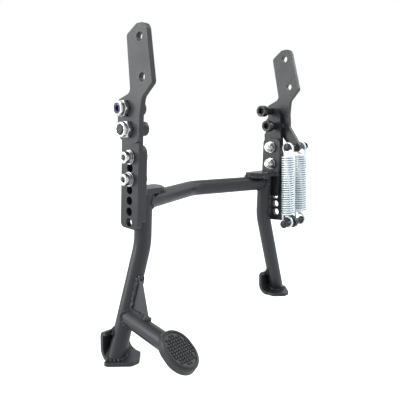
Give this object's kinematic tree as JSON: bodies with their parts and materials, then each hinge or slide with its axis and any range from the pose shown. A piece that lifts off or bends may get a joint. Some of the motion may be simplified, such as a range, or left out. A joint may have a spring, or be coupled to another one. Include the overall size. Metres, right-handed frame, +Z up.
{
  "type": "motorcycle centre stand",
  "caption": "Two-legged centre stand with crossbar, foot pedal, rocker feet and swinging bolt-on hangers held against their stops by extension springs.",
  "frame": {"origin": "on the ground, under the middle of the stand's box", "axes": "+X across to the sprung side, +Y towards the front of the motorcycle, +Z up"},
  "size_m": [0.341, 0.1568, 0.3645],
  "materials": {
    "black_paint": "satin black powder coat with a fine grain",
    "pedal_paint": "satin black, moulded grip field",
    "black_oxide": "black oxide steel, slightly glossy",
    "bright_zinc": "bright zinc plated steel",
    "zinc_spring": "blue-white zinc plated spring wire",
    "blue_nylon": "blue nylon locking ring"
  },
  "bodies": {
    "stand": {"clamp_nut_inserts": "blue_nylon", "clamp_nuts": "bright_zinc", "clamp_screws": "bright_zinc", "clamp_washers": "bright_zinc", "crossbar": "black_paint", "inner_spring": "zinc_spring", "left_cap_plate": "black_paint", "left_inner_plate": "black_paint", "left_leg": "black_paint", "left_rocker": "black_paint", "left_sole": "black_paint", "left_strip": "black_paint", "lower_spring_peg": "black_oxide", "outer_spring": "zinc_spring", "pedal_gusset": "black_paint", "pedal_lever": "black_paint", "pedal_pad": "pedal_paint", "right_cap_plate": "black_paint", "right_inner_plate": "black_paint", "right_leg": "black_paint", "right_rocker": "black_paint", "right_sole": "black_paint", "right_strip": "black_paint"},
    "left_hanger": {"left_hanger": "black_paint", "left_hanger_nuts": "bright_zinc", "left_nut_inserts": "blue_nylon", "left_pivot_screw": "black_oxide", "left_stop_screw": "black_oxide", "left_thrust_washer": "bright_zinc"},
    "right_hanger": {"right_hanger": "black_paint", "right_hanger_nuts": "bright_zinc", "right_nut_inserts": "blue_nylon", "right_pivot_screw": "black_oxide", "right_stop_screw": "black_oxide", "right_thrust_washer": "bright_zinc", "upper_spring_peg": "black_oxide"}
  },
  "joints": [
    {"name": "left_hanger_swing", "type": "hinge", "parent": "stand", "child": "left_hanger", "pos_m": [-0.1453, 0.0238, 0.25427], "axis": [-1, 0, 0], "range_deg": [0, 92]},
    {"name": "right_hanger_swing", "type": "hinge", "parent": "stand", "child": "right_hanger", "pos_m": [0.1453, 0.02855, 0.25473], "axis": [-1, 0, 0], "range_deg": [0, 92], "stiffness_Nm_per_rad": 20, "deforming": ["inner_spring", "outer_spring"]}
  ]
}
